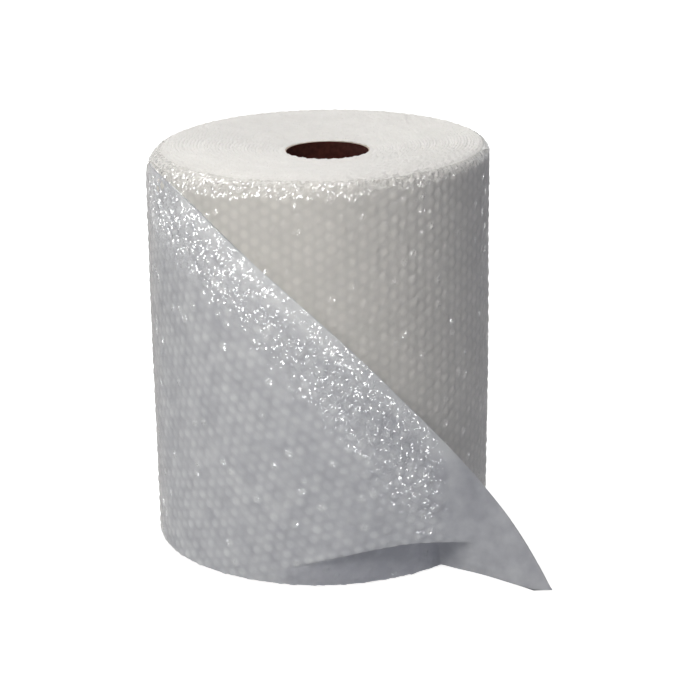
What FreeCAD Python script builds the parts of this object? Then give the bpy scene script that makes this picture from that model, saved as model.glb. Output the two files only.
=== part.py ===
import FreeCAD, Part
import Sketcher
import math
import os

# A roll of bubble wrap on a cardboard core, standing on its end, with its free end
# pulled across the front. Millimetres, +Z up along the core. The origin is on the
# core's axis in the plane the roll stands on, and the free end faces -Y.

SIZES = {
    # the cardboard core
    "core_bore": 76.0,            # inner diameter of the tube
    "core_wall": 3.6,
    "core_clearance": 0.05,       # between the tube and the first turn
    "core_recess": 10.0,          # the tube's upper end is this far below the web's edge
    # the wound web
    "web_width": 375.0,           # height of the standing roll
    "web_thickness": 4.0,         # film and bubbles
    "roll_diameter": 316.6,
    "winding_offset": 8.5,        # the roll's outline is off the core's axis by this, to -X
    "top_shoulder": 26.0,         # the outer turns sag away at the top
    "shoulder_steps": 4,
    "base_shoulder": 4.0,
    "dish_depth": 8.5,            # the turns sink this far towards the core at the top
    # what the turns look like on the two ends: one spiral furrow
    "furrow_turns": 13,
    "furrow_flats": 18,           # flats that each half turn is drawn with
    "furrow_depth": 1.5,
    "furrow_inner_margin": 12.0,  # from the core's side of the roll to the first furrow
    "furrow_outer_margin": 2.0,   # from the last furrow to where the rim sags
    # the columns of bubbles on the side: one upright groove between neighbours
    "column_count": 104,
    "column_groove_width": 3.0,
    "column_groove_depth": 1.2,
    "column_end_margin": 1.5,     # plain band between the columns and the rims
    # the free end: angles round the roll's centre line, 0 at the front, positive to +X
    "edge_height_front": 251.0,   # height of the slanted edge at the front
    "edge_slope": 0.976,          # its fall for each mm to the right, at the front
    "edge_bend": 0.00149,         # how much steeper it gets to the right, for each mm
    "ridge_drop_left": 22.0,      # the rounded ridge runs this far below the edge
    "ridge_drop_right": 48.0,
    "ridge_stand_off": 17.0,
    "edge_stand_off": 5.0,
    "turn_step": 1.0,             # the last turn stands proud of the roll by this at least
    "step_angle": 8.0,            # and rises to it over this
    "leave_angle": -84.0,         # where the last turn starts to lift off
    "lift_done_angle": -25.0,     # from here on the sheet stands its full way off
    "sheet_flats_along": 30,      # pairs of flats that its surface is drawn with
    "sheet_flats_up": 9,
    "station_count": 8,           # sections from there to the flap's root
    "foot_inset": 3.0,            # the sheet's foot lies in under the roll's softened base
    "foot_height": 1.0,
    "tuck_start_angle": -28.0,    # from here its bottom is tucked in below a crease
    "tuck_full_before": 15.0,     # the crease is at its full height this far before the flap
    "crease_height_left": 10.0,
    "crease_height": 34.0,
    "crease_stand_off": 24.0,
    "flare_start_angle": 22.0,    # from here the sheet turns outward
    "flap_angle": 45.0,           # the flap's root, at the floor
    "root_skew": 7.3,             # degrees that the edge is ahead of the foot, at the root
    "ridge_skew_share": 0.7,
    "root_foot_stand_off": 10.0,
    "root_ridge_stand_off": 14.0,
    "root_edge_stand_off": 25.0,
    "ridge_drop_at_root": 0.35,   # of its drop, where the ridge runs into the flap
    "flap_tip_reach": 263.0,      # from the roll's centre line to the tip on the floor
    "flap_tip_angle": 49.5,
    "flap_tip_width": 11.0,       # the cut end's width round the roll
    "tip_cut_lean": 1.18,         # and its reach outward, of that width
    "flap_edge_bow": 4.0,
}


DEGREE = 3                        # of the smooth surface of the free end
SECTION_POINTS = 5                # up each section of it
ON_FLOOR = 1e-6                   # a point no higher than this lies on the floor


def make_sheet(doc):
    """The spreadsheet with every driving size."""
    sheet = doc.addObject("Spreadsheet::Sheet", "Sizes")
    for row, (name, value) in enumerate(SIZES.items(), start=1):
        sheet.set("A%d" % row, name)
        sheet.set("B%d" % row, repr(value))
        sheet.setAlias("B%d" % row, name)
    doc.recompute()
    return sheet


def origin_plane(body, role):
    """One of a body's own origin planes."""
    return next(item for item in body.Origin.OriginFeatures if item.Role == role)


def circle_sketch(body, name, diameter, centre_x=None):
    """A circle on the body's XY plane, with its diameter and centre bound to the sheet."""
    sketch = body.newObject("Sketcher::SketchObject", name)
    sketch.AttachmentSupport = [(origin_plane(body, "XY_Plane"), "")]
    sketch.MapMode = "FlatFace"
    start = FreeCAD.Vector(SIZES["winding_offset"] if centre_x else 0, 0, 0)
    upright = FreeCAD.Vector(0, 0, 1)
    circle = sketch.addGeometry(Part.Circle(start, upright, SIZES["core_bore"] / 2), False)
    across = sketch.addConstraint(Sketcher.Constraint("Diameter", circle, SIZES["core_bore"]))
    sketch.setExpression("Constraints[%d]" % across, diameter)
    if centre_x:
        along = sketch.addConstraint(Sketcher.Constraint("DistanceX", -1, 1, circle, 3, start.x))
        sketch.setExpression("Constraints[%d]" % along, centre_x)
        sketch.addConstraint(Sketcher.Constraint("PointOnObject", circle, 3, -1))
    else:
        sketch.addConstraint(Sketcher.Constraint("Coincident", circle, 3, -1, 1))
    return sketch


def make_core_tube(doc):
    """The plain cardboard tube that the web is wound on."""
    body = doc.addObject("PartDesign::Body", "core_tube")
    outer = circle_sketch(body, "tube_outline", "Sizes.core_bore + 2 * Sizes.core_wall")
    wall = body.newObject("PartDesign::Pad", "tube_wall")
    wall.Profile = outer
    wall.setExpression("Length", "Sizes.web_width - Sizes.core_recess")
    inner = circle_sketch(body, "tube_bore", "Sizes.core_bore")
    bore = body.newObject("PartDesign::Pocket", "tube_hole")
    bore.Profile = inner
    bore.Type = "ThroughAll"
    bore.Reversed = True
    return body


def section_sketch(body, name, corners):
    """A closed polygon on the body's XZ plane, each corner bound to the sheet."""
    sketch = body.newObject("Sketcher::SketchObject", name)
    sketch.AttachmentSupport = [(origin_plane(body, "XZ_Plane"), "")]
    sketch.MapMode = "FlatFace"
    count = len(corners)
    ring = [math.radians(360.0 * number / count) for number in range(count)]
    starts = [FreeCAD.Vector(100 + 50 * math.cos(turn), 100 + 50 * math.sin(turn), 0) for turn in ring]
    for number, start in enumerate(starts):
        sketch.addGeometry(Part.LineSegment(start, starts[(number + 1) % count]), False)
    for number, corner in enumerate(corners):
        before = (number - 1) % count
        sketch.addConstraint(Sketcher.Constraint("Coincident", before, 2, number, 1))
        for kind, expression in zip(("DistanceX", "DistanceY"), corner):
            place = sketch.addConstraint(Sketcher.Constraint(kind, -1, 1, number, 1, 50.0))
            sketch.setExpression("Constraints[%d]" % place, expression)
    return sketch


def make_wound_roll(doc, sheet):
    """All the turns as one solid round the core. A soft roll's rim sags away in steps at
    the top, and its base is pressed in a little all round."""
    body = doc.addObject("PartDesign::Body", "wound_roll")
    outline = "Sizes.roll_diameter / 2"
    corners = [("0", "0"), (outline + " - Sizes.base_shoulder", "0"), (outline, "Sizes.base_shoulder")]
    steps = int(sheet.shoulder_steps)
    for step in range(steps + 1):
        turn = 90.0 * step / steps
        inset = "Sizes.top_shoulder * (1 - cos(%.6f))" % turn
        rise = "Sizes.web_width - Sizes.top_shoulder * (1 - sin(%.6f))" % turn
        corners.append((outline + " - " + inset, rise))
    corners.append(("0", "Sizes.web_width"))
    turns = body.newObject("PartDesign::Revolution", "turns")
    turns.Profile = section_sketch(body, "roll_section", corners)
    turns.ReferenceAxis = (turns.Profile[0], ["V_Axis"])
    turns.Angle = 360.0
    core_hole = "Sizes.core_bore + 2 * Sizes.core_wall + 2 * Sizes.core_clearance"
    hole = body.newObject("PartDesign::Pocket", "core_space")
    hole.Profile = circle_sketch(body, "core_seat", core_hole, "Sizes.winding_offset")
    hole.Type = "ThroughAll"
    hole.Reversed = True
    body.setExpression("Placement.Base.x", "-Sizes.winding_offset")
    return body


def core_side(sheet):
    """How far the first turn is from the core's axis."""
    return sheet.core_bore / 2 + sheet.core_wall + sheet.core_clearance


def furrow_teeth(sheet, first, pitch, sink):
    """The corners of the saw-toothed cutter for an end that sinks by the given depth
    towards the core. Its teeth are the furrows."""
    top = sheet.web_width
    clear = top + 2 * sheet.furrow_depth
    last = first + sheet.furrow_turns * pitch
    slope = sink / (last - core_side(sheet))
    teeth = []
    for turn in range(int(sheet.furrow_turns)):
        crest = first + turn * pitch
        valley = crest + pitch / 2
        teeth.append((crest, top - slope * (last - crest)))
        teeth.append((valley, top - slope * (last - valley) - sheet.furrow_depth))
    start = [(first, clear)]
    if sink > 0:
        inner = core_side(sheet) / 2
        start = [(inner, clear), (inner, top - slope * (last - inner))]
    return start + teeth + [(last, top), (last, clear)]


def half_ring(corners, centre, side, flats):
    """A solid half ring of flats with the given section, round an upright line at centre.
    side is 1 for the back half and -1 for the front half."""
    rings = []
    for step in range(flats + 1):
        turn = side * math.pi * step / flats
        across = FreeCAD.Vector(math.cos(turn), math.sin(turn), 0)
        rings.append([centre + across * reach + FreeCAD.Vector(0, 0, height) for reach, height in corners])
    faces = [Part.Face(Part.makePolygon(ring + ring[:1])) for ring in (rings[0], rings[-1])]
    for near, far in zip(rings, rings[1:]):
        for number, start in enumerate(near):
            around = [start, near[number - 1], far[number - 1], far[number], start]
            faces.append(Part.Face(Part.makePolygon(around)))
    solid = Part.makeSolid(Part.makeShell(faces))
    if solid.Volume < 0:
        solid.reverse()
    return solid


def make_turn_furrows(doc, sheet):
    """The spiral furrow between the turns on both ends, and the dish that they form at the
    top. Each half turn is a half circle, drawn with flats, and its centre steps by a
    quarter of the pitch from side to side."""
    first = core_side(sheet) + sheet.winding_offset + sheet.furrow_inner_margin
    last = sheet.roll_diameter / 2 - sheet.top_shoulder - sheet.furrow_outer_margin
    pitch = (last - first) / (sheet.furrow_turns + 0.5)
    middle = FreeCAD.Vector(0, 0, sheet.web_width / 2)
    cutters = []
    for side, start in ((1, first), (-1, first + pitch / 2)):
        centre = FreeCAD.Vector(-side * pitch / 4, 0, 0)
        for sink in (sheet.dish_depth, 0):
            corners = furrow_teeth(sheet, start + pitch / 4, pitch, sink)
            cutter = half_ring(corners, centre, side, int(sheet.furrow_flats))
            cutters.append(cutter if sink else cutter.mirror(middle, FreeCAD.Vector(0, 0, 1)))
    furrows = doc.addObject("Part::Feature", "turn_furrows")
    furrows.Shape = Part.makeCompound(cutters)
    furrows.Placement.Base.x = -sheet.winding_offset
    return furrows


def make_column_grooves(doc, sheet):
    """The upright grooves between the columns of bubbles on the roll's side."""
    radius = sheet.roll_diameter / 2
    half = sheet.column_groove_width / 2
    low = sheet.base_shoulder + sheet.column_end_margin
    high = sheet.web_width - sheet.top_shoulder - sheet.column_end_margin
    outside = radius + sheet.column_groove_depth
    tooth = Part.Face(Part.makePolygon([
        FreeCAD.Vector(outside, -2 * half, low),
        FreeCAD.Vector(radius - sheet.column_groove_depth, 0, low),
        FreeCAD.Vector(outside, 2 * half, low),
        FreeCAD.Vector(outside, -2 * half, low),
    ]))
    groove = tooth.extrude(FreeCAD.Vector(0, 0, high - low))
    count = int(sheet.column_count)
    grooves = []
    for number in range(count):
        turned = groove.copy()
        turned.rotate(FreeCAD.Vector(), FreeCAD.Vector(0, 0, 1), 360.0 * number / count)
        grooves.append(turned)
    columns = doc.addObject("Part::Feature", "column_grooves")
    columns.Shape = Part.makeCompound(grooves)
    columns.Placement.Base.x = -sheet.winding_offset
    return columns


def ease(low, high, value):
    """A smooth rise from 0 at low to 1 at high."""
    share = min(1.0, max(0.0, (value - low) / (high - low)))
    return share * share * (3 - 2 * share)


def mix(low, high, share):
    """A value part of the way from low to high."""
    return low + (high - low) * share


class FreeEnd:
    """The lines that the loose end of the web follows, each a point for a place along it.
    Points are given as an angle round the roll (0 at the front, positive to the right),
    a stand-off from the roll's outline and a height."""

    def __init__(self, sheet):
        self.radius = sheet.roll_diameter / 2
        self.sheet = sheet

    def point(self, angle, stand_off, height):
        turn = math.radians(angle)
        reach = self.radius + stand_off
        return FreeCAD.Vector(reach * math.sin(turn), -reach * math.cos(turn), height)

    def lift(self, angle):
        """How far the sheet has come away from the roll, 0 to 1."""
        return ease(self.sheet.leave_angle, self.sheet.lift_done_angle, angle)

    def edge_height(self, angle):
        """The slanted edge falls in a shallow curve from the top rim to the right."""
        size = self.sheet
        run = self.radius * math.radians(angle)
        fall = size.edge_height_front - size.edge_slope * run - size.edge_bend * run ** 2
        return min(fall, size.web_width - size.top_shoulder / 2)

    def shoulder_inset(self, height):
        """How far the roll's softened rim lies inside its outline at a height."""
        size = self.sheet
        above = max(0.0, height - (size.web_width - size.top_shoulder))
        return size.top_shoulder - math.sqrt(size.top_shoulder ** 2 - above ** 2)

    def station(self, share):
        """The section at a share of the way from the last turn to the flap's root."""
        size = self.sheet
        angle = mix(size.leave_angle, size.flap_angle, share)
        flare = ease(size.flare_start_angle, size.flap_angle, angle)
        tuck = ease(size.tuck_start_angle, size.flap_angle - size.tuck_full_before, angle)
        lift = self.lift(angle)
        edge_angle = angle + size.root_skew * flare
        edge_height = self.edge_height(edge_angle)
        edge_off = size.turn_step + size.edge_stand_off * lift + size.root_edge_stand_off * flare
        edge_off -= self.shoulder_inset(edge_height)
        drop = mix(size.ridge_drop_left, size.ridge_drop_right, share)
        drop *= mix(1.0, size.ridge_drop_at_root, flare)
        ridge_angle = angle + size.root_skew * flare * size.ridge_skew_share
        ridge_off = size.turn_step + size.ridge_stand_off * lift + size.root_ridge_stand_off * flare
        ridge_height = edge_height - drop
        ridge_off -= self.shoulder_inset(ridge_height)
        crease_off = size.turn_step + size.crease_stand_off * tuck
        crease_height = mix(size.crease_height_left, size.crease_height, tuck)
        foot_off = -size.foot_inset + (size.foot_inset + size.root_foot_stand_off) * flare
        belly_height = mix(crease_height, ridge_height, 0.5)
        belly_off = mix(crease_off, ridge_off, 0.5)
        return [
            self.point(angle, foot_off, size.foot_height),
            self.point(angle, crease_off, crease_height),
            self.point(mix(angle, ridge_angle, 0.5), belly_off, belly_height),
            self.point(ridge_angle, ridge_off, ridge_height),
            self.point(edge_angle, edge_off, edge_height),
        ]

    def flap_section(self, foot, edge):
        """A straight section of the flap, from its foot to its edge."""
        top = SECTION_POINTS - 1.0
        return [foot + (edge - foot) * (row / top) for row in range(SECTION_POINTS)]

    def flap_sections(self):
        """The flap is flat: a section half way out, and the tip, which lies on the floor."""
        size = self.sheet
        reach = size.flap_tip_reach - self.radius
        tip = self.point(size.flap_tip_angle, reach, 0.0)
        foot_reach = reach - size.flap_tip_width * size.tip_cut_lean
        tip_turn = math.degrees(size.flap_tip_width / size.flap_tip_reach)
        tip_foot = self.point(size.flap_tip_angle - tip_turn, foot_reach, 0.0)
        root = self.station(1.0)
        middle_foot = (root[0] + tip_foot) * 0.5
        middle_edge = (root[-1] + tip) * 0.5
        outward = FreeCAD.Vector(middle_edge.x, middle_edge.y, 0)
        middle_edge = middle_edge + outward.normalize() * size.flap_edge_bow
        return [self.flap_section(middle_foot, middle_edge), self.flap_section(tip_foot, tip)]

    def buried_section(self, section):
        """The section before the first: it lies just inside the turn below."""
        back = FreeCAD.Rotation(FreeCAD.Vector(0, 0, 1), -self.sheet.step_angle)
        turned = [back.multVec(point) for point in section]
        share = (self.radius - self.sheet.web_thickness) / self.radius
        return [FreeCAD.Vector(point.x * share, point.y * share, point.z) for point in turned]

    def sections(self):
        """All the sections, from the last turn to the tip."""
        count = int(self.sheet.station_count)
        wrap = [self.station(number / (count - 1.0)) for number in range(count)]
        return [self.buried_section(wrap[0])] + wrap + self.flap_sections()


def surface_over(sections):
    """A smooth surface whose control net is the sections' points. It passes through its
    border sections and stays inside the net, so it never dips below the floor."""
    surface = Part.BSplineSurface()
    knots = []
    counts = []
    for size in (len(sections), len(sections[0])):
        spans = size - DEGREE
        knots.append([float(knot) for knot in range(spans + 1)])
        counts.append([DEGREE + 1] + [1] * (spans - 1) + [DEGREE + 1])
    surface.buildFromPolesMultsKnots(sections, *counts, *knots, False, False, DEGREE, DEGREE)
    return surface


def inner_sections(sections, thickness):
    """The same sections on the sheet's other side, one thickness nearer to the roll."""
    inner = []
    last = len(sections) - 1
    for number, section in enumerate(sections):
        before = sections[max(0, number - 1)]
        after = sections[min(last, number + 1)]
        row_points = []
        for row, point in enumerate(section):
            along = after[row] - before[row]
            up = section[min(SECTION_POINTS - 1, row + 1)] - section[max(0, row - 1)]
            normal = along.cross(up).normalize()
            moved = point - normal * thickness
            moved.z = 0.0 if point.z < ON_FLOOR else max(moved.z, 0.0)
            row_points.append(moved)
        inner.append(row_points)
    return inner


def grid_over(surface, along, up):
    """Points on a surface, in rows from its start to its end."""
    first_u, last_u, first_v, last_v = surface.bounds()
    grid = []
    for column in range(along + 1):
        place = mix(first_u, last_u, column / along)
        heights = [mix(first_v, last_v, row / up) for row in range(up + 1)]
        grid.append([surface.value(place, height) for height in heights])
    return grid


def flats_between(near, far):
    """Two flats for each step of two lines of points."""
    flats = []
    for number in range(len(near) - 1):
        corners = [near[number], near[number + 1], far[number + 1], far[number]]
        for pick in ((0, 1, 2), (0, 2, 3)):
            triangle = [corners[place] for place in pick]
            flats.append(Part.Face(Part.makePolygon(triangle + triangle[:1])))
    return flats


def make_free_end(doc, sheet):
    """The loose end of the web as a closed sheet with the web's thickness, in flats."""
    along = int(sheet.sheet_flats_along)
    up = int(sheet.sheet_flats_up)
    outer_sections = FreeEnd(sheet).sections()
    outer = grid_over(surface_over(outer_sections), along, up)
    inner = grid_over(surface_over(inner_sections(outer_sections, sheet.web_thickness)), along, up)
    faces = []
    for side in (outer, inner):
        for near, far in zip(side, side[1:]):
            faces += flats_between(near, far)
    for column in (0, -1):
        faces += flats_between(outer[column], inner[column])
    for row in (0, -1):
        faces += flats_between([line[row] for line in outer], [line[row] for line in inner])
    solid = Part.makeSolid(Part.makeShell(faces))
    if solid.Volume < 0:
        solid.reverse()
    end = doc.addObject("Part::Feature", "free_end")
    end.Shape = solid
    end.Placement.Base.x = -sheet.winding_offset
    return end


def make_bubble_wrap(doc, sheet):
    """The whole web as one piece: its turns, furrowed and grooved, with the free end."""
    roll = make_wound_roll(doc, sheet)
    furrows = make_turn_furrows(doc, sheet)
    columns = make_column_grooves(doc, sheet)
    furrowed = doc.addObject("Part::Cut", "furrowed_roll")
    furrowed.Base = roll
    furrowed.Tool = furrows
    grooved = doc.addObject("Part::Cut", "grooved_roll")
    grooved.Base = furrowed
    grooved.Tool = columns
    web = doc.addObject("Part::Fuse", "bubble_wrap")
    web.Base = grooved
    web.Tool = make_free_end(doc, sheet)
    return web


def check(doc):
    """Stop with a plain message if anything in the document has failed."""
    for item in doc.Objects:
        if "Invalid" in item.State or "Error" in item.State:
            raise RuntimeError("%s failed: %s" % (item.Label, item.State))


def main():
    os.makedirs("parts", exist_ok=True)
    doc = FreeCAD.newDocument("bubble_wrap_roll")
    sheet = make_sheet(doc)
    subparts = [make_core_tube(doc), make_bubble_wrap(doc, sheet)]
    doc.recompute()
    check(doc)
    for subpart in subparts:
        shape = subpart.Shape
        if shape.isNull() or not shape.isValid():
            raise RuntimeError("%s has no valid shape" % subpart.Label)
        print(subpart.Label, "volume", round(shape.Volume), "solids", len(shape.Solids))
    for subpart in subparts:
        subpart.Shape.exportStep("parts/%s.step" % subpart.Label)


main()
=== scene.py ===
import math

import bpy
import numpy as np
from mathutils import Matrix, Vector


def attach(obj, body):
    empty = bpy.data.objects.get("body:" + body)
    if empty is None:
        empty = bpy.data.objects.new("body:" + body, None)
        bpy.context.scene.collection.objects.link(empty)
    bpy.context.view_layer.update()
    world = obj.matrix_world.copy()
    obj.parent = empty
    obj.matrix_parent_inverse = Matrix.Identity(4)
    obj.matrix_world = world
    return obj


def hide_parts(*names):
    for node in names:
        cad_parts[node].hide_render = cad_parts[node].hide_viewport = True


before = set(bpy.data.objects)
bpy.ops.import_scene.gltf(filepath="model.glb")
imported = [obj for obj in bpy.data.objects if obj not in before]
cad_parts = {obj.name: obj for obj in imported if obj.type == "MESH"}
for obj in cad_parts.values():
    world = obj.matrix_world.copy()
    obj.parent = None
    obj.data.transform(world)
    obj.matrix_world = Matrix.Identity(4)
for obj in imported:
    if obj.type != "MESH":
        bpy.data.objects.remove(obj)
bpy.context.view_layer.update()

MM = 0.001
SEED = 11
WHITE = (1.0, 1.0, 1.0, 1.0)

# The roll, as in the part's source. Lengths are in metres and angles in degrees, 0 at the
# front and positive towards +X.
WEB_WIDTH = 375 * MM
OUTLINE = 158.3 * MM
OFFSET = 8.5 * MM                 # the roll's centre line is off the core's axis, to -X
CORE_SIDE = 41.65 * MM            # where the first turn lies
TURNS = 36

# The bubbles face inward, so their pattern shows through the outer film as soft cushions.
ROW_PITCH = 11.0 * MM
COLUMNS = 104
COLUMN_STEP = 2 * math.pi * OUTLINE / COLUMNS
CUSHION_RADIUS = 5.0 * MM
CUSHION_HEIGHT = 0.8 * MM
CUSHION_FLAT = 0.4                # share of the radius that is flat on top
CUSHION_KINDS = 4093
COLUMN_STRIDE = 131               # the strides give neighbouring cushions different kinds
ROW_STRIDE = 71
FILM_TONE = 0.42                  # of the film between the cushions
CUSHION_TONE_STEP = 0.10
CUSHION_TONE_SPAN = 0.28
SPARK_LEVEL = 0.92                # the few cushions above it are crumpled
SIDE_CONTRAST = 1.8
FILM_BELOW = 1.0 * MM             # the film between the cushions lies this far inside the surface
FINE_FOLD = 7 * MM                # length of the finest folds
RIPPLE_WAVES = 14

# The soft rim at the top: sags more on the left than on the right.
RIM_MEAN = 19 * MM
RIM_LEAN = 7 * MM
RIM_WRAP = 1.05                   # how far round the rim the outer turn lies, in radians
BASE_RIM = 4 * MM
BASE_TAPER = 0.8
DISH_DEPTH = 9 * MM               # the turns sink in towards the core at the top
DISH_RIM = 130 * MM
SWAY_SLOW = 0.5 * MM
SWAY_FAST = 0.35 * MM

# The outer turn: where its two halves meet, its points, and what changes on the way over the
# rim, in radians.
HALVES_MEET = 100.0
SIDE_ROWS = 232
FRONT_COLUMNS = 345
BACK_COLUMNS = 277
RIM_CALMS = (0.1, 0.8)            # the cushions get lower
RIM_CRUMPLES = (0.0, 0.5)         # the fine folds get deeper
RIM_SPARKLES = (0.05, 0.4)
RIM_DULLS = (0.7, 1.0)

# The two ends, with the edges of the turns. Shares are counted from the core outwards.
TOP_INSET = 5.5 * MM
BASE_INSET = 0.9 * MM
TOP_FURROW = 1.2 * MM
BASE_FURROW = 0.9 * MM
END_SINK = 0.6 * MM
END_WOBBLE = 0.35 * MM
END_GRAIN = 0.16 * MM
CELL_HEIGHT = 0.45 * MM           # the flattened bubbles that show in a turn's edge
CREST_POWER = 0.8
EDGE_KINDS = 97
CORE_LAP_SHARE = 0.035            # the first turn laps over the edge of the tube
CORE_LAP = 2.4 * MM
CORE_LAP_RISE = 0.9 * MM
TOP_EDGE_SINK = 0.8 * MM
TOP_EDGE_SHARES = (0.955, 0.99)
BASE_EDGE_SHARES = (0.965, 1.0)

# The free end's control net, as in the part's source. It leaves the roll at the left, lifts off
# and ends in a flat flap with its tip on the floor. OFF is a distance outside the outline.
LEAVE_ANGLE = -84.0
LIFT_DONE = -25.0
STEP_ANGLE = 8.0
TURN_STEP = 1.0 * MM
BURIED_DEPTH = 4 * MM
FLAP_ANGLE = 45.0
FLARE_START = 22.0
TUCK_START = -28.0
TUCK_FULL_BEFORE = 15.0
EDGE_FRONT = 251 * MM
EDGE_SLOPE = 0.976
EDGE_BEND = 1.49                  # for each metre
EDGE_OFF = 5 * MM
EDGE_BOW = 4 * MM
RIDGE_DROP_LEFT = 22 * MM
RIDGE_DROP_RIGHT = 48 * MM
RIDGE_DROP_ROOT = 0.35
RIDGE_OFF = 17 * MM
CREASE_LEFT = 10 * MM
CREASE_HEIGHT = 34 * MM
CREASE_OFF = 24 * MM
FOOT_INSET = 3 * MM
FOOT_HEIGHT = 1 * MM
ROOT_SKEW = 7.3
RIDGE_SKEW_SHARE = 0.7
ROOT_FOOT_OFF = 10 * MM
ROOT_RIDGE_OFF = 14 * MM
ROOT_EDGE_OFF = 25 * MM
TIP_REACH = 268 * MM
TIP_ANGLE = 49.5
TIP_WIDTH = 11 * MM
TIP_LEAN = 1.18
TOP_SHOULDER = 26 * MM
STATIONS = 8
NET_ROWS = 5
DEGREE = 3

# The free end's sheet: its points, its thickness and how it lies on the roll.
SHEET_ACROSS = 262
SHEET_UP = 170
FILM_THICKNESS = 2.4 * MM
LAP_STEP = 1.3 * MM               # the sheet stands this far over the turn below
LAP_BLEND = 0.05                  # in radians, to each side of where the sheet leaves
PRESS_ROUND = 1.5 * MM
FLOOR_GAP = 0.05 * MM
RIDGE_ARC = 1.1                   # the way over the sheet to the ridge, for each metre of height

# The fold at the bottom of the sheet. A pair holds the angles between which something happens.
FOLD_LEFT = 9 * MM                # height of the fold at the left
FOLD_HEIGHT = 40 * MM
FOLD_DROP = 8 * MM
FOLD_ROUND = 5 * MM
FOLD_LIP = 2.5 * MM
FOLD_LIP_UP = 3 * MM
FOLD_LIP_WIDTH = 7 * MM
FOLD_DEPTH = 20 * MM
FOLD_CLIMBS = (-32.0, 24.0)
FOLD_FALLS = (24.0, 46.0)
FOLD_DEEPENS = (-30.0, 4.0)
FOLD_ENDS = (41.0, 45.0)

# The sheet's buckles and creases, with pairs of angles as above.
SHEET_COMES = (-82.0, -66.0)
BUCKLE_HEIGHT = 0.8 * MM
FINE_HEIGHT = 0.12 * MM
RIDGE_BUCKLE = 9 * MM
RIDGE_BUCKLE_WIDTH = 28 * MM
RIDGE_BUCKLES_GO = (33.0, 42.0)
SOFT_BUCKLE = 60 * MM
SOFT_BUCKLES_UP = (0.10, 0.3)     # shares of the way up the sheet
SOFT_BUCKLES_GO = (30.0, 40.0)
CREASED_LEFT = 28 * MM
CREASED_RIGHT = 52 * MM
CREASED_WIDENS = (-30.0, 20.0)
CREASES_GO = (26.0, 41.0)

# The sheet's bubbles and tones.
LATTICE_LEAN = 13.0               # the bubble rows on the loose end lean to the right
BUBBLES_GO = (34.0, 42.0)
EDGE_STRIP = 17 * MM              # nearly plain film along the free edge
STRIP_BUBBLES = 0.15
# the plain film along the edge is pale, and its tone is raised further as a painted highlight,
# more towards the right
STRIP_TONE_WITH_HIGHLIGHT = 0.95
STRIP_HIGHLIGHT_GROWS = (-70.0, 0.0)
FLAP_COMES = (38.0, 46.0)
FLAP_TONE = 0.3
PLAIN_CRINKLE = 0.18
CHILL_GROWS = (LEAVE_ANGLE, -60.0)

# The film.
CLOUD_SCALE = 60.0
CREASE_RELIEF = 2.4 * MM
FACET_SCALE = 720.0
FACET_TILT = 1.6
GLOSS_GAIN = 1.6
COOL_TINT = (0.93, 0.965, 1.0)

# The card: a wall painted dark as painted shade inside the bore, a spiral seam, and pale cut
# ends.
# painted shade: the brown card darkened to the shade inside the bore
BORE_SHADE_DARK = (0.050, 0.013, 0.010)
BORE_SHADE_LIGHT = (0.085, 0.023, 0.017)
CARD_CUT = (0.66, 0.56, 0.47)
SEAM_COLOUR = (0.03, 0.010, 0.008)
SEAM_CLIMB = 0.11                 # in one turn round the tube
SEAM_SHARE = 0.012
FIBRE_SCALE = 220.0

# The light. The lamps named glints only make the film's sparkle and give no diffuse light.
WORLD_LEVEL = 0.01
FLOOR_SIZE = 12.0
FLOOR_DROP = 0.5 * MM
FLOOR_COLOUR = (0.45, 0.45, 0.45, 1.0)
FLOOR_GLOW = 0.88                 # near the roll, rising to 1 further out
GLOW_NEAR = 0.2
GLOW_FAR = 1.2
LAMP_TARGET = (0.0, 0.0, 0.2)
LAMPS = (                         # name, place, side, watts, tint
    ("soft_back", (-0.2, 0.5, 1.7), 0.9, 13.6, (1.0, 0.99, 0.98)),
    ("soft_left", (-1.4, -1.4, 0.9), 1.2, 4.0, (1.0, 0.97, 0.93)),
    ("near_front", (-0.25, -0.85, 0.95), 0.45, 5.3, (1.0, 0.975, 0.935)),
    ("soft_right", (1.9, -0.9, 0.7), 1.2, 1.6, (0.56, 0.58, 1.0)),
    ("soft_behind", (0.5, 2.0, 0.9), 1.4, 6.0, (1.0, 1.0, 1.0)),
    ("glints_front", (-0.4, -1.7, 1.3), 0.9, 60.0, (1.0, 1.0, 1.0)),
    ("glints_left", (-1.9, 0.0, 1.15), 1.1, 110.0, (1.0, 1.0, 1.0)),
    ("glints_right", (1.6, -1.1, 1.05), 0.9, 60.0, (1.0, 1.0, 1.0)),
)

# The camera, fitted to the photograph.
CAMERA_PLACE = (-0.0085, -1.79897, 0.76949)
CAMERA_TARGET = (-0.0085, 0.0, 0.1875)
SENSOR_WIDTH = 36.0
LENS = 102.68
SHIFT = (0.04189, -0.0226)
ROLL = -0.82

RNG = np.random.default_rng(SEED)
CUSHION_SIZE = RNG.uniform(0.45, 1.0, CUSHION_KINDS)
CUSHION_TILT = RNG.normal(0.0, 0.07, (CUSHION_KINDS, 2))
CUSHION_SHIFT = RNG.normal(0.0, 0.25 * MM, (CUSHION_KINDS, 2))
CUSHION_TONE = RNG.uniform(0.0, 1.0, CUSHION_KINDS)


def ease(low, high, value):
    share = np.clip((value - low) / (high - low), 0.0, 1.0)
    return share * share * (3 - 2 * share)


def mix(low, high, share):
    return low + (high - low) * share


def around(angle, reach, height):
    """Points at an angle round the roll's centre line (radians), a reach and a height."""
    angle, reach, height = np.broadcast_arrays(angle, reach, height)
    return np.stack([reach * np.sin(angle) - OFFSET, -reach * np.cos(angle), height], axis=-1)


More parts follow.
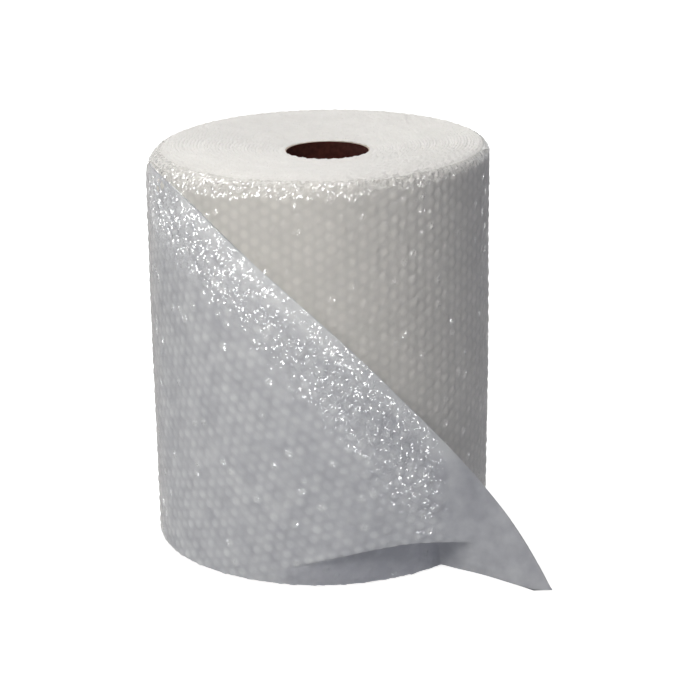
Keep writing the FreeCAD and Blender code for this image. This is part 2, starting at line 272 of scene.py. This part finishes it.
def new_object(name, points, faces, material):
    """A smooth-shaded mesh piece that rides on the root body."""
    mesh = bpy.data.meshes.new(name)
    mesh.from_pydata(points.tolist(), [], faces.tolist())
    mesh.update()
    mesh.polygons.foreach_set("use_smooth", [True] * len(mesh.polygons))
    piece = bpy.data.objects.new(name, mesh)
    bpy.context.scene.collection.objects.link(piece)
    piece.data.materials.append(material)
    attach(piece, "root")
    return piece


def mark(piece, name, values):
    """A value from 0 to 1 for each point, read by the film's material under this name."""
    layer = piece.data.attributes.new(name, "FLOAT", "POINT")
    layer.data.foreach_set("value", np.ascontiguousarray(values, dtype=np.float32).reshape(-1))


def grid_faces(rows, columns, closed=False):
    """Quads over a grid of points stored row by row."""
    row = np.arange(rows - 1)[:, None]
    column = np.arange(columns if closed else columns - 1)[None, :]
    after = (column + 1) % columns
    corners = [row * columns + column, row * columns + after,
               (row + 1) * columns + after, (row + 1) * columns + column]
    return np.stack(corners, axis=-1).reshape(-1, 4)


def cushions(along, up):
    """The pattern of bubbles on flat film, in upright columns that are staggered by half a
    pitch: the height of the film, a tone from 0 to 1, and how crumpled it is, at each place."""
    nearest = np.full(np.shape(along), 1.0)
    height = np.zeros(np.shape(along))
    tone = np.full(np.shape(along), 0.5)
    spark = np.zeros(np.shape(along))
    first = np.floor(along / COLUMN_STEP).astype(int)
    for beside in (-1, 0, 1, 2):
        column = first + beside
        stagger = 0.5 * (column % 2)
        row = np.round(up / ROW_PITCH - stagger).astype(int)
        kind = ((column % COLUMNS) * COLUMN_STRIDE + row * ROW_STRIDE) % CUSHION_KINDS
        off_x = along - column * COLUMN_STEP - CUSHION_SHIFT[kind, 0]
        off_y = up - (row + stagger) * ROW_PITCH - CUSHION_SHIFT[kind, 1]
        away = np.hypot(off_x, off_y)
        here = away < nearest
        swell = 1 - ease(CUSHION_FLAT * CUSHION_RADIUS, CUSHION_RADIUS, away)
        lean = off_x * CUSHION_TILT[kind, 0] + off_y * CUSHION_TILT[kind, 1]
        own_tone = CUSHION_TONE_STEP + CUSHION_TONE_SPAN * CUSHION_TONE[kind]
        height = np.where(here, swell * (CUSHION_SIZE[kind] * CUSHION_HEIGHT + lean), height)
        tone = np.where(here, FILM_TONE + swell * own_tone, tone)
        spark = np.where(here, swell * (CUSHION_TONE[kind] > SPARK_LEVEL), spark)
        nearest = np.where(here, away, nearest)
    return height, tone, spark


def ripple(along, up, length, seed):
    """Soft random folds of about the given length, mostly between -1 and 1."""
    chance = np.random.default_rng(seed)
    total = np.zeros(np.shape(along))
    for _ in range(RIPPLE_WAVES):
        turn = chance.uniform(0, 2 * math.pi)
        pitch = length * chance.uniform(0.7, 1.5)
        wave = (along * math.cos(turn) + up * math.sin(turn)) * 2 * math.pi / pitch
        total += np.sin(wave + chance.uniform(0, 2 * math.pi))
    return total / math.sqrt(RIPPLE_WAVES / 2) / 2


def rim_radius(angle):
    """Radius of the soft rim, largest on the left."""
    return RIM_MEAN - RIM_LEAN * np.sin(angle)


def rim_inset(angle, height):
    """How far the side lies inside the outline near its top."""
    rim = rim_radius(angle)
    above = np.clip(height - (WEB_WIDTH - rim), 0.0, rim)
    return rim - np.sqrt(rim ** 2 - above ** 2)


def rim_top(angle, inside):
    """Height of the top end a distance inside the outline: round at the rim, then sinking
    towards the core."""
    rim = rim_radius(angle)
    out = np.clip(rim - inside, 0.0, rim)
    sunk = np.clip((DISH_RIM - (OUTLINE - inside)) / (DISH_RIM - CORE_SIDE), 0.0, 1.0)
    return WEB_WIDTH - rim + np.sqrt(rim ** 2 - out ** 2) - DISH_DEPTH * sunk


def sway(angle, height):
    """The roll's side is a little uneven: softly squeezed turns."""
    up = height / WEB_WIDTH
    slow = SWAY_SLOW * np.sin(3 * angle + 1.3) * np.sin(9 * up + 0.4)
    return slow + SWAY_FAST * np.sin(7 * angle + 2.1 + 5 * up)


def side_reach(angle, height):
    """How far from the roll's centre line its side lies."""
    return OUTLINE - rim_inset(angle, height) + sway(angle, height)


def edge_height(degrees):
    """Height of the free end's slanted edge."""
    run = OUTLINE * np.radians(degrees)
    fall = EDGE_FRONT - EDGE_SLOPE * run - EDGE_BEND * run ** 2
    return np.minimum(fall, WEB_WIDTH - TOP_SHOULDER / 2)


def roll_side(material):
    """The outer turn, from the floor up and over the rim, in a front and a back half."""
    halves = (
        ("roll_side_front", -HALVES_MEET, HALVES_MEET, FRONT_COLUMNS),
        ("roll_side_back", HALVES_MEET, 360.0 - HALVES_MEET, BACK_COLUMNS),
    )
    share = np.linspace(0, 1, SIDE_ROWS)[:, None]
    pieces = []
    for name, start, end, columns in halves:
        angle = np.radians(np.linspace(start, end, columns))[None, :]
        rim = rim_radius(angle)
        path = share * (WEB_WIDTH - rim + rim * RIM_WRAP)
        bend = np.clip(path - (WEB_WIDTH - rim), 0, None) / rim
        height = np.minimum(path, WEB_WIDTH - rim) + rim * np.sin(bend)
        reach = OUTLINE - rim * (1 - np.cos(bend)) + sway(angle, path)
        reach = reach - BASE_TAPER * np.clip(BASE_RIM - height, 0, None)

        girth = np.broadcast_to(OUTLINE * angle, path.shape)
        swell, tone, spark = cushions(girth, path)
        fade = 1 - 0.5 * ease(*RIM_CALMS, bend)
        fold = (0.12 + 0.35 * ease(*RIM_CRUMPLES, bend)) * MM
        lift = swell * fade - FILM_BELOW + fold * ripple(girth, path, FINE_FOLD, 3)
        reach = reach + lift * np.cos(bend)
        height = height + lift * np.sin(bend)
        points = around(angle, reach, np.maximum(height, 0.0)).reshape(-1, 3)
        piece = new_object(name, points, grid_faces(SIDE_ROWS, columns), material)

        mark(piece, "tone", 0.5 + SIDE_CONTRAST * (tone - 0.5))
        crinkle = 0.2 + 0.8 * ease(*RIM_SPARKLES, bend) * (1 - 0.6 * ease(*RIM_DULLS, bend))
        mark(piece, "crinkle", np.maximum(crinkle, spark))
        pieces.append(piece)
    return pieces


def end_face(name, material, top, steps, segments):
    """One end of the roll: the edges of all the turns as one spiral, wound tight at the core
    and drifting off its axis outwards."""
    rings = TURNS * steps + 1
    ring = np.arange(rings)[:, None] / (rings - 1.0)
    turn = (2 * np.pi * np.arange(segments) / segments)[None, :]
    reach = mix(CORE_SIDE, OUTLINE - (TOP_INSET if top else BASE_INSET), ring)
    phase = ring * TURNS - turn / (2 * np.pi)
    crest = np.abs(np.cos(np.pi * phase)) ** CREST_POWER
    number = np.floor(phase).astype(int) % EDGE_KINDS
    start = RNG.uniform(0, 2 * np.pi, EDGE_KINDS)[number]
    tall = RNG.uniform(-0.5, 0.3, EDGE_KINDS)[number] * MM
    cells = CELL_HEIGHT * np.sin(reach * turn / ROW_PITCH * 2 * np.pi + start)
    grain = RNG.normal(0, END_GRAIN, (rings, segments))

    depth = TOP_FURROW if top else BASE_FURROW
    relief = crest * (tall + cells) + grain - depth * (1 - crest) - END_SINK
    lap = 1 - ease(0.0, CORE_LAP_SHARE, ring)
    if top:
        level = rim_top(turn, OUTLINE - reach) - TOP_EDGE_SINK * ease(*TOP_EDGE_SHARES, ring)
        height = level + relief + lap * CORE_LAP_RISE
    else:
        level = WEB_WIDTH - BASE_RIM * ease(*BASE_EDGE_SHARES, ring)
        height = WEB_WIDTH - np.minimum(level + relief, WEB_WIDTH - FLOOR_GAP)
    wobble = END_WOBBLE * np.sin(5 * turn + 9 * ring) * np.sin(3 * turn + 17 * ring)
    reach = reach + wobble - lap * CORE_LAP
    x = reach * np.sin(turn) - OFFSET * ring
    y = -reach * np.cos(turn)
    points = np.stack([x, y, height], axis=-1).reshape(-1, 3)
    faces = grid_faces(rings, segments, closed=True)
    if top:
        faces = faces[:, ::-1]
    piece = new_object(name, points, faces, material)
    mark(piece, "tone", 0.35 + 0.3 * crest)
    mark(piece, "crinkle", np.full((rings, segments), 0.5))
    return piece


def free_end_net():
    """The control net of the free end, section by section, as in the part's source."""
    def point(angle, off, height):
        turn = math.radians(angle)
        return [(OUTLINE + off) * math.sin(turn), -(OUTLINE + off) * math.cos(turn), height]

    def shoulder(height):
        above = max(0.0, height - (WEB_WIDTH - TOP_SHOULDER))
        return TOP_SHOULDER - math.sqrt(TOP_SHOULDER ** 2 - above ** 2)

    def station(share):
        angle = mix(LEAVE_ANGLE, FLAP_ANGLE, share)
        flare = float(ease(FLARE_START, FLAP_ANGLE, angle))
        tuck = float(ease(TUCK_START, FLAP_ANGLE - TUCK_FULL_BEFORE, angle))
        lift = float(ease(LEAVE_ANGLE, LIFT_DONE, angle))
        edge_angle = angle + ROOT_SKEW * flare
        edge = float(edge_height(edge_angle))
        edge_off = TURN_STEP + EDGE_OFF * lift + ROOT_EDGE_OFF * flare - shoulder(edge)
        drop = mix(RIDGE_DROP_LEFT, RIDGE_DROP_RIGHT, share) * mix(1.0, RIDGE_DROP_ROOT, flare)
        ridge_angle = angle + ROOT_SKEW * flare * RIDGE_SKEW_SHARE
        ridge = edge - drop
        ridge_off = TURN_STEP + RIDGE_OFF * lift + ROOT_RIDGE_OFF * flare - shoulder(ridge)
        crease_off = TURN_STEP + CREASE_OFF * tuck
        crease = mix(CREASE_LEFT, CREASE_HEIGHT, tuck)
        foot_off = -FOOT_INSET + (FOOT_INSET + ROOT_FOOT_OFF) * flare
        return [
            point(angle, foot_off, FOOT_HEIGHT),
            point(angle, crease_off, crease),
            point((angle + ridge_angle) / 2, (crease_off + ridge_off) / 2, (crease + ridge) / 2),
            point(ridge_angle, ridge_off, ridge),
            point(edge_angle, edge_off, edge),
        ]

    wrap = [np.array(station(number / (STATIONS - 1.0))) for number in range(STATIONS)]

    # the start, buried in the roll a step back
    back = math.radians(STEP_ANGLE)
    spin = np.array([
        [math.cos(back), math.sin(back), 0],
        [-math.sin(back), math.cos(back), 0],
        [0, 0, 1],
    ])
    share = (OUTLINE - BURIED_DEPTH) / OUTLINE
    buried = wrap[0] @ spin.T * np.array([share, share, 1])

    # the flap, straight from its root to the tip on the floor but for the bow of its edge
    reach = TIP_REACH - OUTLINE
    tip = np.array(point(TIP_ANGLE, reach, 0.0))
    tip_turn = math.degrees(TIP_WIDTH / TIP_REACH)
    tip_foot = np.array(point(TIP_ANGLE - tip_turn, reach - TIP_WIDTH * TIP_LEAN, 0.0))
    root = wrap[-1]
    middle_foot = (root[0] + tip_foot) / 2
    middle_edge = (root[-1] + tip) / 2
    outward = middle_edge * np.array([1, 1, 0])
    middle_edge = middle_edge + outward / np.linalg.norm(outward) * EDGE_BOW
    rows = np.linspace(0, 1, NET_ROWS)[:, None]
    middle = middle_foot + (middle_edge - middle_foot) * rows
    end = tip_foot + (tip - tip_foot) * rows
    return np.array([buried] + wrap + [middle, end])


def basis(count, places):
    """Cubic weights of each control point at the given places from 0 to 1."""
    inner = np.linspace(0, 1, count - DEGREE + 1)
    knots = np.concatenate([np.zeros(DEGREE), inner, np.ones(DEGREE)])
    places = np.clip(places, 0, 1 - 1e-9)
    column = places[:, None]
    weights = ((column >= knots[None, :-1]) & (column < knots[None, 1:])).astype(float)
    for level in range(1, DEGREE + 1):
        size = len(knots) - 1 - level
        next_weights = np.zeros((len(places), size))
        for number in range(size):
            span = knots[number + level] - knots[number]
            if span > 0:
                next_weights[:, number] += (places - knots[number]) / span * weights[:, number]
            span = knots[number + level + 1] - knots[number + 1]
            if span > 0:
                left = knots[number + level + 1] - places
                next_weights[:, number] += left / span * weights[:, number + 1]
        weights = next_weights
    return weights


def ridge_line(degrees):
    """How far below the edge the rounded ridge runs."""
    share = np.clip((degrees - LEAVE_ANGLE) / (FLAP_ANGLE - LEAVE_ANGLE), 0, 1)
    return mix(RIDGE_DROP_LEFT, RIDGE_DROP_RIGHT, share) * RIDGE_ARC


def sheet_turn(surface):
    """The angle of each point round the roll, in radians."""
    return np.arctan2(surface[:, :, 0], -surface[:, :, 1])


def sheet_reach(surface):
    """How far from the roll's centre line each point lies."""
    return np.hypot(surface[:, :, 0], surface[:, :, 1])


def at_reach(surface, wanted):
    """The same sheet with each point moved in or out to the wanted reach."""
    share = wanted / sheet_reach(surface)
    return surface * np.stack([share, share, np.ones_like(share)], axis=-1)


def tucked(surface):
    """The same sheet with its bottom folded in under the crease, up to where the flap
    starts, and how far under the crease each point is."""
    turn = np.degrees(sheet_turn(surface))
    height = surface[:, :, 2]
    crease = mix(FOLD_LEFT, FOLD_HEIGHT, ease(*FOLD_CLIMBS, turn))
    crease = crease - FOLD_DROP * ease(*FOLD_FALLS, turn)
    amount = ease(*FOLD_DEEPENS, turn) * (1 - ease(*FOLD_ENDS, turn))
    under = ease(0, 1, (crease - height) / FOLD_ROUND)
    lip = np.exp(-((height - crease - FOLD_LIP_UP) / FOLD_LIP_WIDTH) ** 2)
    wanted = sheet_reach(surface) + amount * (FOLD_LIP * lip - FOLD_DEPTH * under)
    return at_reach(surface, wanted), under * amount


def on_the_roll(surface):
    """The same sheet, pressed out to lie on the last turn wherever it would cut into it."""
    angle = sheet_turn(surface)
    start = math.radians(LEAVE_ANGLE)
    step = mix(-BURIED_DEPTH, LAP_STEP, ease(start - LAP_BLEND, start + LAP_BLEND, angle))
    lies_on = side_reach(angle, surface[:, :, 2]) + step
    apart = sheet_reach(surface) - lies_on
    return at_reach(surface, lies_on + (apart + np.sqrt(apart ** 2 + PRESS_ROUND ** 2)) / 2)


def closed_sheet(outer, inner):
    """Points and quads of a thin sheet: its two faces and the rim between them."""
    across, up = outer.shape[:2]
    points = np.concatenate([outer.reshape(-1, 3), inner.reshape(-1, 3)])
    number = np.arange(across * up).reshape(across, up)
    faces = grid_faces(across, up)[:, ::-1]
    behind = faces[:, ::-1] + across * up
    ring = np.concatenate([number[:, 0], number[-1, 1:], number[-2::-1, -1], number[0, -2:0:-1]])
    after = np.roll(ring, -1)
    rim = np.stack([ring, after, after + across * up, ring + across * up], axis=-1)
    return points, np.concatenate([faces, behind, rim])


def free_end(material):
    """The loose end: one thin sheet with low cushions, up to the smooth flap."""
    net = free_end_net()
    u = np.linspace(0, 1, SHEET_ACROSS)
    v = np.linspace(0, 1, SHEET_UP)
    surface = np.einsum("ui,vj,ijk->uvk", basis(net.shape[0], u), basis(net.shape[1], v), net)
    normal = np.cross(np.gradient(surface, axis=0), np.gradient(surface, axis=1))
    normal /= np.linalg.norm(normal, axis=2, keepdims=True)
    surface, under = tucked(surface)
    surface = on_the_roll(surface)

    # place on the flat web: along the roll's girth and down from the edge
    turn = np.degrees(sheet_turn(surface))
    steps = np.linalg.norm(np.diff(surface, axis=1), axis=2)
    to_edge = np.cumsum(steps[:, ::-1], axis=1)[:, ::-1]
    below = np.concatenate([to_edge, np.zeros((SHEET_ACROSS, 1))], axis=1)
    girth = OUTLINE * np.radians(turn)
    web_height = surface[:, -1:, 2] - below
    from_ridge = below - ridge_line(turn)

    # soft buckles in the middle, and short sharp ones along the ridge
    from_left = ease(*SHEET_COMES, turn)
    on_ridge = np.exp(-(from_ridge / RIDGE_BUCKLE_WIDTH) ** 2) * from_left
    on_ridge = on_ridge * (1 - ease(*RIDGE_BUCKLES_GO, turn))
    on_sheet = ease(*SOFT_BUCKLES_UP, v)[None, :] * from_left * (1 - ease(*SOFT_BUCKLES_GO, turn))
    buckle = on_ridge * BUCKLE_HEIGHT * ripple(girth, web_height * 0.5, RIDGE_BUCKLE, 5)
    buckle += on_sheet * BUCKLE_HEIGHT * ripple(girth, web_height, SOFT_BUCKLE, 6)
    buckle += FINE_HEIGHT * ripple(girth, web_height, FINE_FOLD, 7)

    # the bubble pattern, turned clockwise towards the flap, where it dies out
    lean = math.radians(LATTICE_LEAN)
    lattice_along = girth * math.cos(lean) - web_height * math.sin(lean)
    lattice_up = girth * math.sin(lean) + web_height * math.cos(lean)
    swell, tone, spark = cushions(lattice_along, lattice_up)
    off_strip = ease(0.3 * EDGE_STRIP, 1.6 * EDGE_STRIP, below)
    fade = (1 - ease(*BUBBLES_GO, turn)) * mix(STRIP_BUBBLES, 1.0, off_strip)
    buckle += swell * fade - FILM_BELOW

    outer = surface + normal * buckle[:, :, None]
    inner = surface + normal * (buckle - FILM_THICKNESS)[:, :, None]
    for face in (outer, inner):
        face[:, :, 2] = np.maximum(face[:, :, 2], FLOOR_GAP)
        face[:, :, 0] -= OFFSET
    points, quads = closed_sheet(outer, inner)
    piece = new_object("free_end", points, quads, material)

    # the marks: a pale strip along the edge, brightened by a painted highlight, a plainer flap,
    # painted shade under the crease, and crumpled film round the ridge
    strip = 1 - ease(0.8 * EDGE_STRIP, 1.8 * EDGE_STRIP, below)
    flap = ease(*FLAP_COMES, turn)
    tone = mix(0.5, tone, fade)
    # the pale edge strip, brightened as a painted highlight
    tone = mix(tone, STRIP_TONE_WITH_HIGHLIGHT, strip * ease(*STRIP_HIGHLIGHT_GROWS, turn))
    # under the crease the tone goes to 0, the darkest film colour: painted shade
    tone = mix(mix(tone, FLAP_TONE, flap), 0.0, under)
    wide = mix(CREASED_LEFT, CREASED_RIGHT, ease(*CREASED_WIDENS, turn))
    creased = np.exp(-(from_ridge / wide) ** 2) * from_left * (1 - ease(*CREASES_GO, turn))
    crinkle = PLAIN_CRINKLE * (1 - flap) + (1 - PLAIN_CRINKLE) * creased
    crinkle = np.maximum(crinkle, spark * fade)
    chill = ease(*CHILL_GROWS, turn)
    for name, values in (("tone", tone), ("chill", chill), ("crinkle", crinkle)):
        mark(piece, name, np.tile(values.reshape(-1), 2))
    return piece


def new_material(name):
    """A material, its node tree and its main shader."""
    material = bpy.data.materials.new(name)
    material.use_nodes = True
    tree = material.node_tree
    return material, tree, tree.nodes["Principled BSDF"]


def feed(tree, node, inputs):
    """Links a node's inputs to other nodes' outputs, or gives them plain values."""
    for name, value in inputs.items():
        if isinstance(value, bpy.types.NodeSocket):
            tree.links.new(value, node.inputs[name])
        else:
            node.inputs[name].default_value = value


def add_node(tree, kind, inputs, **settings):
    """A node of a kind, with its settings and then its inputs, by name or number."""
    node = tree.nodes.new("ShaderNode" + kind)
    for name, value in settings.items():
        setattr(node, name, value)
    feed(tree, node, inputs)
    return node


def maths(tree, operation, *values, **settings):
    """What a Math node makes of outputs or numbers."""
    node = add_node(tree, "Math", dict(enumerate(values)), operation=operation, **settings)
    return node.outputs[0]


def vector_maths(tree, operation, *values):
    """What a Vector Math node makes of outputs or vectors."""
    node = add_node(tree, "VectorMath", dict(enumerate(values)), operation=operation)
    return node.outputs["Vector"]


def mixed_colour(tree, share, first, second, **settings):
    """A colour mixed with a second one by a share."""
    inputs = {"Factor": share, "A": first, "B": (*second, 1.0)}
    return add_node(tree, "Mix", inputs, data_type="RGBA", **settings).outputs["Result"]


def colour_ramp(tree, value, *stops):
    """A colour between two stops, each with its place and its colour."""
    node = add_node(tree, "ValToRGB", {"Fac": value})
    for element, (place, colour) in zip(node.color_ramp.elements, stops):
        element.position = place
        element.color = (*colour, 1.0)
    return node.outputs["Color"]


def noise(tree, place, scale, detail, roughness=0.5):
    """A soft noise at a place."""
    inputs = {"Vector": place, "Scale": scale, "Detail": detail, "Roughness": roughness}
    return add_node(tree, "TexNoise", inputs).outputs["Fac"]


def film_material(name, low, high, roughness, coat, bump, grain_scale):
    """Milky polythene: a soft body with fine creases, under a thin gloss of small tilted facets
    that sparkle where the film is crumpled."""
    material, tree, shader = new_material(name)
    place = add_node(tree, "TexCoord", {}).outputs["Object"]
    tone, chill, crinkle = [
        add_node(tree, "Attribute", {}, attribute_name=label).outputs["Fac"]
        for label in ("tone", "chill", "crinkle")]

    # the body: a soft cloud and the marked tone, and creases where it is crumpled
    cloud = noise(tree, place, scale=CLOUD_SCALE, detail=3.0)
    half = maths(tree, "MULTIPLY", maths(tree, "ADD", cloud, tone), 0.5)
    milky = colour_ramp(tree, half, (0.25, low), (0.75, high))
    relief = add_node(tree, "Bump", {
        "Strength": maths(tree, "MULTIPLY", crinkle, bump),
        "Distance": CREASE_RELIEF,
        "Height": noise(tree, place, scale=grain_scale, detail=2.0, roughness=0.55),
    })

    # the gloss, whose facets each face a little another way
    facets = add_node(tree, "TexVoronoi", {"Vector": place, "Scale": FACET_SCALE})
    tilt = vector_maths(tree, "SUBTRACT", facets.outputs["Color"], (0.5, 0.5, 0.5))
    spread = maths(tree, "MULTIPLY", crinkle, FACET_TILT)
    tilted = add_node(tree, "VectorMath", {0: tilt, "Scale": spread}, operation="SCALE")
    level = add_node(tree, "NewGeometry", {}).outputs["Normal"]
    turned = vector_maths(tree, "ADD", level, tilted.outputs["Vector"])
    gloss = maths(tree, "MULTIPLY", crinkle, GLOSS_GAIN * coat, use_clamp=True)

    feed(tree, shader, {
        "Base Color": mixed_colour(tree, chill, milky, COOL_TINT, blend_type="MULTIPLY"),
        "Normal": relief.outputs["Normal"],
        "Roughness": roughness,
        "IOR": 1.5,
        "Specular IOR Level": 0.0,
        "Coat Normal": vector_maths(tree, "NORMALIZE", turned),
        "Coat Weight": gloss,
        "Coat Roughness": 0.07,
        "Subsurface Weight": 0.4,
        "Subsurface Radius": (1.0, 1.0, 1.0),
        "Subsurface Scale": 3 * MM,
    })
    return material


def card_material():
    """Brown wound card: a spiral seam, a bore wall painted dark as painted shade, and pale cut
    ends.
    """
    material, tree, shader = new_material("core_card")
    place = add_node(tree, "TexCoord", {}).outputs["Object"]
    parts = add_node(tree, "SeparateXYZ", {0: place}).outputs
    turn = maths(tree, "ARCTAN2", parts["Y"], parts["X"])
    rise = maths(tree, "MULTIPLY", parts["Z"], 1 / SEAM_CLIMB)
    climb = maths(tree, "MULTIPLY_ADD", turn, 1 / (2 * math.pi), rise)
    seam = maths(tree, "LESS_THAN", maths(tree, "FRACT", climb), SEAM_SHARE)
    fibre = noise(tree, place, scale=FIBRE_SCALE, detail=5.0)
    # the wall's colour is painted shade: the card darkened to the shade inside the bore
    shaded_wall = colour_ramp(tree, fibre, (0.3, BORE_SHADE_DARK), (0.7, BORE_SHADE_LIGHT))
    shaded_wall = mixed_colour(tree, seam, shaded_wall, SEAM_COLOUR)
    facing = add_node(tree, "NewGeometry", {}).outputs["True Normal"]
    upright = add_node(tree, "SeparateXYZ", {0: facing}).outputs["Z"]
    cut = maths(tree, "GREATER_THAN", maths(tree, "ABSOLUTE", upright), 0.5)
    relief = add_node(tree, "Bump", {"Strength": 0.3, "Distance": 0.2 * MM, "Height": fibre})
    feed(tree, shader, {
        "Base Color": mixed_colour(tree, cut, shaded_wall, CARD_CUT),
        "Normal": relief.outputs["Normal"],
        "Roughness": 0.75,
        "Specular IOR Level": 0.03,
    })
    return material


def background_rays(tree):
    """The rays that see the white surround: the camera's, and those in gloss or clear film."""
    rays = add_node(tree, "LightPath", {}).outputs
    shine = maths(tree, "MAXIMUM", rays["Is Glossy Ray"], rays["Is Transmission Ray"])
    return maths(tree, "MAXIMUM", rays["Is Camera Ray"], shine)


def blend_surface(tree, plain, bright, output):
    """Shows a plain shader, and a bright one to the rays that see the white surround."""
    blend = add_node(tree, "MixShader", {0: background_rays(tree), 1: plain, 2: bright})
    tree.links.new(blend.outputs[0], tree.nodes[output].inputs["Surface"])


def pale_floor():
    """A floor that looks white and keeps the object's shadow."""
    bpy.ops.mesh.primitive_plane_add(size=FLOOR_SIZE, location=(0, 0, -FLOOR_DROP))
    floor = bpy.context.object
    floor.name = "floor"
    material, tree, shader = new_material("floor_pale")
    feed(tree, shader, {"Base Color": FLOOR_COLOUR, "Roughness": 0.6})
    place = add_node(tree, "TexCoord", {}).outputs["Object"]
    far = add_node(tree, "VectorMath", {0: place}, operation="LENGTH")
    glow = add_node(tree, "MapRange", {
        "Value": far.outputs["Value"],
        "From Min": GLOW_NEAR,
        "From Max": GLOW_FAR,
        "To Min": FLOOR_GLOW,
        "To Max": 1.0,
    })
    white = add_node(tree, "Emission", {"Color": WHITE, "Strength": glow.outputs["Result"]})
    glowing = add_node(tree, "AddShader", {0: shader.outputs[0], 1: white.outputs[0]})
    blend_surface(tree, shader.outputs[0], glowing.outputs[0], "Material Output")
    floor.data.materials.append(material)


def white_surround():
    """A world that hardly lights the object and looks white."""
    world = bpy.data.worlds.new("surround")
    bpy.context.scene.world = world
    world.use_nodes = True
    tree = world.node_tree
    soft = tree.nodes["Background"]
    feed(tree, soft, {"Color": WHITE, "Strength": WORLD_LEVEL})
    bright = add_node(tree, "Background", {"Color": WHITE, "Strength": 1.0})
    blend_surface(tree, soft.outputs[0], bright.outputs[0], "World Output")


def lamps():
    """Square area lamps that face the roll."""
    for name, place, side, power, tint in LAMPS:
        lamp = bpy.data.lights.new(name, "AREA")
        lamp.shape = "SQUARE"
        lamp.size = side
        lamp.energy = power
        lamp.color = tint
        shown = bpy.data.objects.new(name, lamp)
        bpy.context.scene.collection.objects.link(shown)
        shown.location = place
        shown.visible_diffuse = not name.startswith("glints")
        towards = Vector(LAMP_TARGET) - Vector(place)
        shown.rotation_euler = towards.to_track_quat("-Z", "Y").to_euler()


def photo_camera():
    """The camera at the photograph's distance, height and tilt."""
    data = bpy.data.cameras.new("photo_camera")
    data.sensor_width = SENSOR_WIDTH
    data.lens = LENS
    data.shift_x, data.shift_y = SHIFT
    camera = bpy.data.objects.new("photo_camera", data)
    bpy.context.scene.collection.objects.link(camera)
    place = Vector(CAMERA_PLACE)
    target = Vector(CAMERA_TARGET)
    look = (target - place).to_track_quat("-Z", "Y").to_matrix().to_4x4()
    tilt = Matrix.Rotation(math.radians(ROLL), 4, "Z")
    camera.matrix_world = Matrix.Translation(place) @ look @ tilt
    bpy.context.scene.camera = camera


film_side = film_material(
    "film_side", low=(0.66, 0.655, 0.63), high=(0.80, 0.785, 0.755),
    roughness=0.42, coat=0.8, bump=0.6, grain_scale=320.0)
film_top = film_material(
    "film_top", low=(0.82, 0.81, 0.79), high=(0.92, 0.91, 0.89),
    roughness=0.5, coat=0.05, bump=0.9, grain_scale=520.0)
film_sheet = film_material(
    "film_sheet", low=(0.50, 0.495, 0.53), high=(0.90, 0.89, 0.885),
    roughness=0.36, coat=1.0, bump=0.7, grain_scale=320.0)

made = roll_side(film_side)
made.append(end_face("roll_top", film_top, top=True, steps=5, segments=540))
made.append(end_face("roll_base", film_top, top=False, steps=3, segments=300))
made.append(free_end(film_sheet))
for piece in made:
    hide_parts("bubble_wrap")

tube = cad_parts["core_tube"]
tube.data.materials.clear()
tube.data.materials.append(card_material())

pale_floor()
white_surround()
lamps()
photo_camera()
bpy.context.scene.view_settings.view_transform = "Standard"
